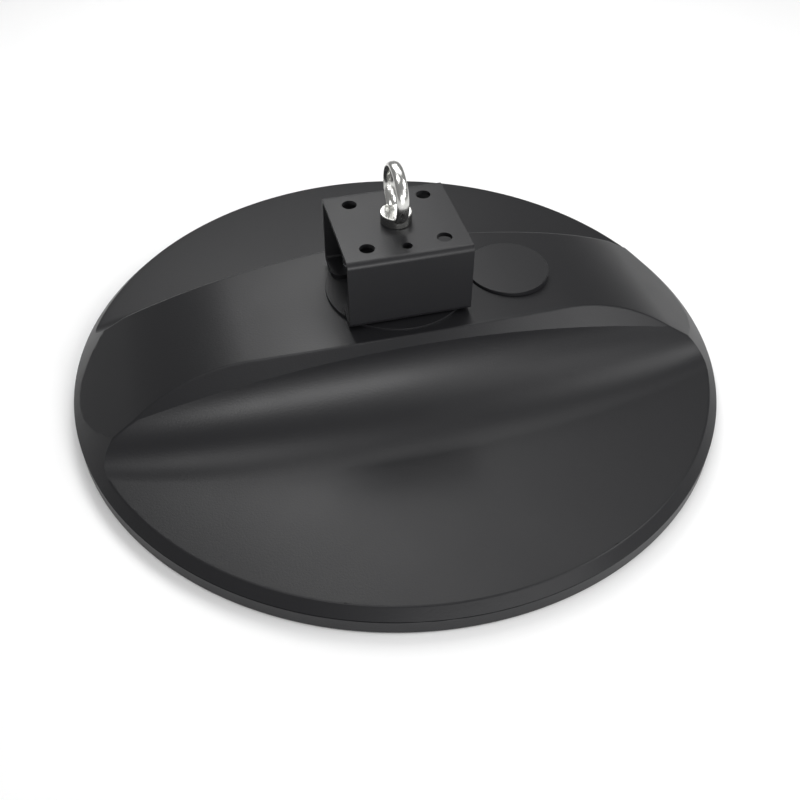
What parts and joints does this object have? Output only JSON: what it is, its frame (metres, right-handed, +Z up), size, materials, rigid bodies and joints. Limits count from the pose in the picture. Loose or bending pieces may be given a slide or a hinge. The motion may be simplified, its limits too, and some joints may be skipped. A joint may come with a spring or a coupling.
{
  "type": "high bay light",
  "caption": "Flat round high bay light with an arched driver bridge, scooped housing and a folded hanging bracket with an eye bolt.",
  "frame": {"origin": "centre of the flat underside, the bezel's face around the diffuser", "axes": "+Z up, away from the light's face to the eye; +X along the bridge towards the round port cover; +Y towards the cable gland"},
  "size_m": [0.32, 0.32, 0.1172],
  "materials": {
    "black_powder_coat": "satin fine-grained powder coat",
    "polished_stainless": "polished",
    "zinc_steel": "zinc plated",
    "black_nylon": "satin",
    "black_rubber": "matt",
    "silicone_rubber": "matt",
    "opal_polycarbonate": "satin, diffusing",
    "bare_aluminium": "rolled sheet",
    "white_board": "satin white solder mask",
    "led_phosphor": "gloss",
    "thermal_silicone": "matt",
    "green_circuit": "satin",
    "wound_core": "varnished winding",
    "capacitor_sleeve": "gloss",
    "white_nylon": "satin"
  },
  "bodies": {
    "root": {"housing": "black_powder_coat", "bracket": "black_powder_coat", "eye_bolt": "polished_stainless", "eye_washer": "polished_stainless", "eye_nut": "polished_stainless", "bracket_screws": "zinc_steel", "bracket_washers": "zinc_steel", "port_cover": "black_powder_coat", "port_seal": "black_rubber", "gland_body": "black_nylon", "gland_cap": "black_nylon", "gland_plug": "black_rubber", "gland_seal": "black_rubber", "gland_nut": "black_nylon", "heat_plate": "bare_aluminium", "thermal_pad": "thermal_silicone", "led_board": "white_board", "led_emitters": "led_phosphor", "plate_screws": "zinc_steel", "board_screws": "zinc_steel", "diffuser": "opal_polycarbonate", "diffuser_seal": "silicone_rubber", "bezel": "black_powder_coat", "bezel_screws": "zinc_steel", "driver_case": "bare_aluminium", "driver_cover": "bare_aluminium", "driver_board": "green_circuit", "driver_transformer": "wound_core", "driver_capacitors": "capacitor_sleeve", "driver_screws": "zinc_steel", "terminal_block": "white_nylon"}
  },
  "joints": []
}
